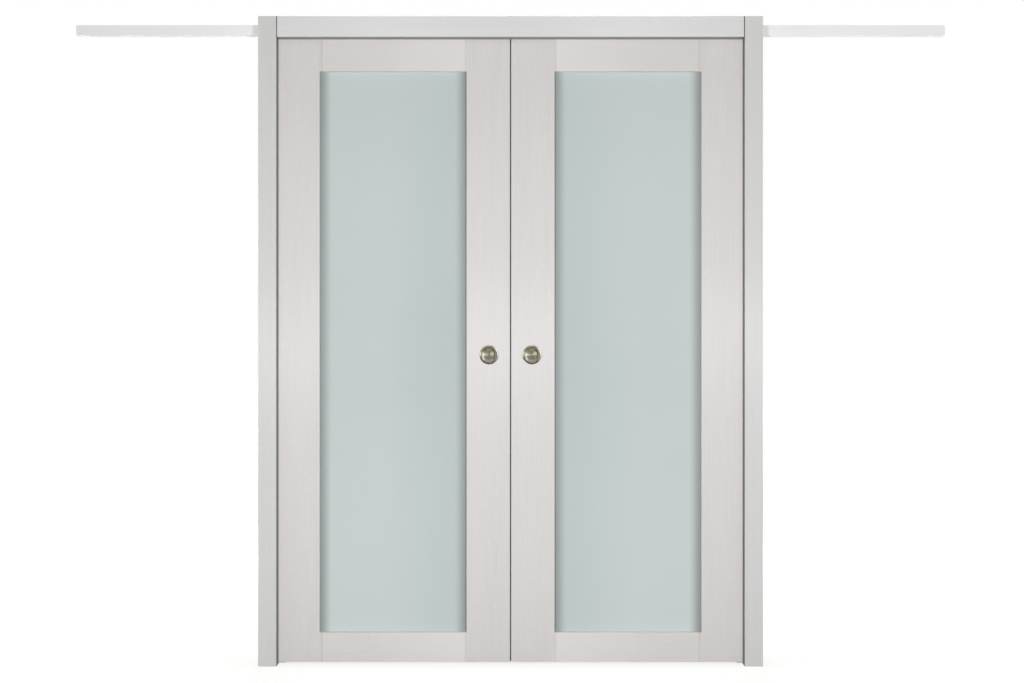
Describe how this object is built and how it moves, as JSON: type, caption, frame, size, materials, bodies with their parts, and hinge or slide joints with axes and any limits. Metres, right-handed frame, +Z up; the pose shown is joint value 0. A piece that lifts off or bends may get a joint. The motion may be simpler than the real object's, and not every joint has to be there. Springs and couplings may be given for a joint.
{
  "type": "double pocket door",
  "caption": "Bi-parting pocket door: two framed frosted-glass leaves with round flush pulls, hung by wheel carriages from a hidden rail, in a cased opening.",
  "frame": {"origin": "on the floor, at the middle of the doorway and of the wall's thickness", "axes": "+X to the right along the wall as seen from the front, +Y through the wall to the back, +Z up"},
  "size_m": [2.83, 0.148, 2.098],
  "materials": {
    "leaf_foil": "matt off-white ash-grain finish foil on a timber core",
    "casing_foil": "matt off-white finish foil on board",
    "bare_timber": "planed pine and beech, unfinished",
    "frosted_glass": "acid-etched milky toughened glass",
    "glazing_rubber": "pale translucent glazing rubber",
    "satin_nickel": "spun and brushed nickel plate",
    "rail_coat": "white powder coat",
    "zinc_steel": "bright zinc-plated steel",
    "buffer_rubber": "moulded black rubber",
    "brush_pile": "dark grey woven pile strip",
    "guide_nylon": "white moulded nylon",
    "carriage_metal": "dark grey coated steel",
    "wheel_plastic": "natural white acetal"
  },
  "bodies": {
    "surround": {"front_casing_left": "casing_foil", "front_casing_right": "casing_foil", "front_casing_head": "casing_foil", "back_casing_left": "casing_foil", "back_casing_right": "casing_foil", "back_casing_head": "casing_foil", "left_jamb_front": "casing_foil", "left_jamb_back": "casing_foil", "right_jamb_front": "casing_foil", "right_jamb_back": "casing_foil", "head_jamb_front": "casing_foil", "head_jamb_back": "casing_foil", "header_board": "bare_timber", "rail": "rail_coat", "track_stops": "zinc_steel", "stop_buffers": "buffer_rubber", "frame_screws": "zinc_steel", "frame_brush_seals": "brush_pile", "floor_brackets": "rail_coat", "floor_guides": "guide_nylon"},
    "left_leaf": {"left_leading_stile": "leaf_foil", "left_trailing_stile": "leaf_foil", "left_top_rail": "leaf_foil", "left_bottom_rail": "leaf_foil", "left_meeting_seal": "brush_pile", "left_glass": "frosted_glass", "left_glazing_gasket": "glazing_rubber", "left_dowels": "bare_timber", "left_front_pull": "satin_nickel", "left_back_pull": "satin_nickel", "left_hanger_plates": "zinc_steel", "left_plate_screws": "zinc_steel", "left_carriages": "carriage_metal", "left_axles": "zinc_steel", "left_suspension_bolts": "zinc_steel", "left_lock_nuts": "zinc_steel"},
    "right_leaf": {"right_leading_stile": "leaf_foil", "right_trailing_stile": "leaf_foil", "right_top_rail": "leaf_foil", "right_bottom_rail": "leaf_foil", "right_meeting_seal": "brush_pile", "right_glass": "frosted_glass", "right_glazing_gasket": "glazing_rubber", "right_dowels": "bare_timber", "right_front_pull": "satin_nickel", "right_back_pull": "satin_nickel", "right_hanger_plates": "zinc_steel", "right_plate_screws": "zinc_steel", "right_carriages": "carriage_metal", "right_axles": "zinc_steel", "right_suspension_bolts": "zinc_steel", "right_lock_nuts": "zinc_steel"},
    "left_wheel_pair_1": {"left_wheels_1": "wheel_plastic"},
    "left_wheel_pair_2": {"left_wheels_2": "wheel_plastic"},
    "left_wheel_pair_3": {"left_wheels_3": "wheel_plastic"},
    "left_wheel_pair_4": {"left_wheels_4": "wheel_plastic"},
    "right_wheel_pair_1": {"right_wheels_1": "wheel_plastic"},
    "right_wheel_pair_2": {"right_wheels_2": "wheel_plastic"},
    "right_wheel_pair_3": {"right_wheels_3": "wheel_plastic"},
    "right_wheel_pair_4": {"right_wheels_4": "wheel_plastic"}
  },
  "joints": [
    {"name": "left_leaf_slide", "type": "slide", "parent": "surround", "child": "left_leaf", "axis": [-1, 0, 0], "range_m": [0, 0.64]},
    {"name": "right_leaf_slide", "type": "slide", "parent": "surround", "child": "right_leaf", "axis": [1, 0, 0], "range_m": [0, 0.64]},
    {"name": "left_wheel_roll_1", "type": "hinge", "parent": "left_leaf", "child": "left_wheel_pair_1", "pos_m": [-0.0525, 0, 2.0598], "axis": [0, -1, 0], "range_deg": [0, 3336]},
    {"name": "left_wheel_roll_2", "type": "hinge", "parent": "left_leaf", "child": "left_wheel_pair_2", "pos_m": [-0.0925, 0, 2.0598], "axis": [0, -1, 0], "range_deg": [0, 3336]},
    {"name": "left_wheel_roll_3", "type": "hinge", "parent": "left_leaf", "child": "left_wheel_pair_3", "pos_m": [-0.6725, 0, 2.0598], "axis": [0, -1, 0], "range_deg": [0, 3336]},
    {"name": "left_wheel_roll_4", "type": "hinge", "parent": "left_leaf", "child": "left_wheel_pair_4", "pos_m": [-0.7125, 0, 2.0598], "axis": [0, -1, 0], "range_deg": [0, 3336]},
    {"name": "right_wheel_roll_1", "type": "hinge", "parent": "right_leaf", "child": "right_wheel_pair_1", "pos_m": [0.0525, 0, 2.0598], "axis": [0, 1, 0], "range_deg": [0, 3336]},
    {"name": "right_wheel_roll_2", "type": "hinge", "parent": "right_leaf", "child": "right_wheel_pair_2", "pos_m": [0.0925, 0, 2.0598], "axis": [0, 1, 0], "range_deg": [0, 3336]},
    {"name": "right_wheel_roll_3", "type": "hinge", "parent": "right_leaf", "child": "right_wheel_pair_3", "pos_m": [0.6725, 0, 2.0598], "axis": [0, 1, 0], "range_deg": [0, 3336]},
    {"name": "right_wheel_roll_4", "type": "hinge", "parent": "right_leaf", "child": "right_wheel_pair_4", "pos_m": [0.7125, 0, 2.0598], "axis": [0, 1, 0], "range_deg": [0, 3336]}
  ],
  "couplings": [
    {"joint": "left_wheel_roll_1", "follows": "left_leaf_slide", "rad_per_m": 90.909},
    {"joint": "left_wheel_roll_2", "follows": "left_leaf_slide", "rad_per_m": 90.909},
    {"joint": "left_wheel_roll_3", "follows": "left_leaf_slide", "rad_per_m": 90.909},
    {"joint": "left_wheel_roll_4", "follows": "left_leaf_slide", "rad_per_m": 90.909},
    {"joint": "right_wheel_roll_1", "follows": "right_leaf_slide", "rad_per_m": 90.909},
    {"joint": "right_wheel_roll_2", "follows": "right_leaf_slide", "rad_per_m": 90.909},
    {"joint": "right_wheel_roll_3", "follows": "right_leaf_slide", "rad_per_m": 90.909},
    {"joint": "right_wheel_roll_4", "follows": "right_leaf_slide", "rad_per_m": 90.909}
  ]
}
